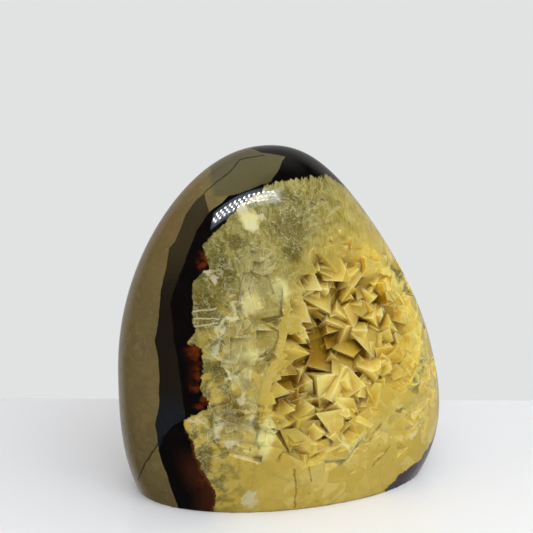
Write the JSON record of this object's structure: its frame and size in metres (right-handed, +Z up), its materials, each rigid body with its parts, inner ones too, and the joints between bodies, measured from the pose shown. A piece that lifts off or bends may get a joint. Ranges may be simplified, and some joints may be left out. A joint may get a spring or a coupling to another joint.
{
  "type": "septarian nodule",
  "caption": "Polished free-standing septarian nodule: an arched stone on a flat cut base, with an open hollow in its face lined with yellow calcite crystals.",
  "frame": {"origin": "middle of the stone's outline seen from above, on the plane of its flat base", "axes": "+Z up, +X along the stone's length with its steeper side at +X, -Y out of the face with the hollow"},
  "size_m": [0.1132, 0.0666, 0.115],
  "materials": {
    "polished_stone": "polished",
    "calcite_crystal": "natural crystal faces"
  },
  "bodies": {
    "root": {"nodule": "polished_stone", "calcite_crust": "calcite_crystal"}
  },
  "joints": []
}
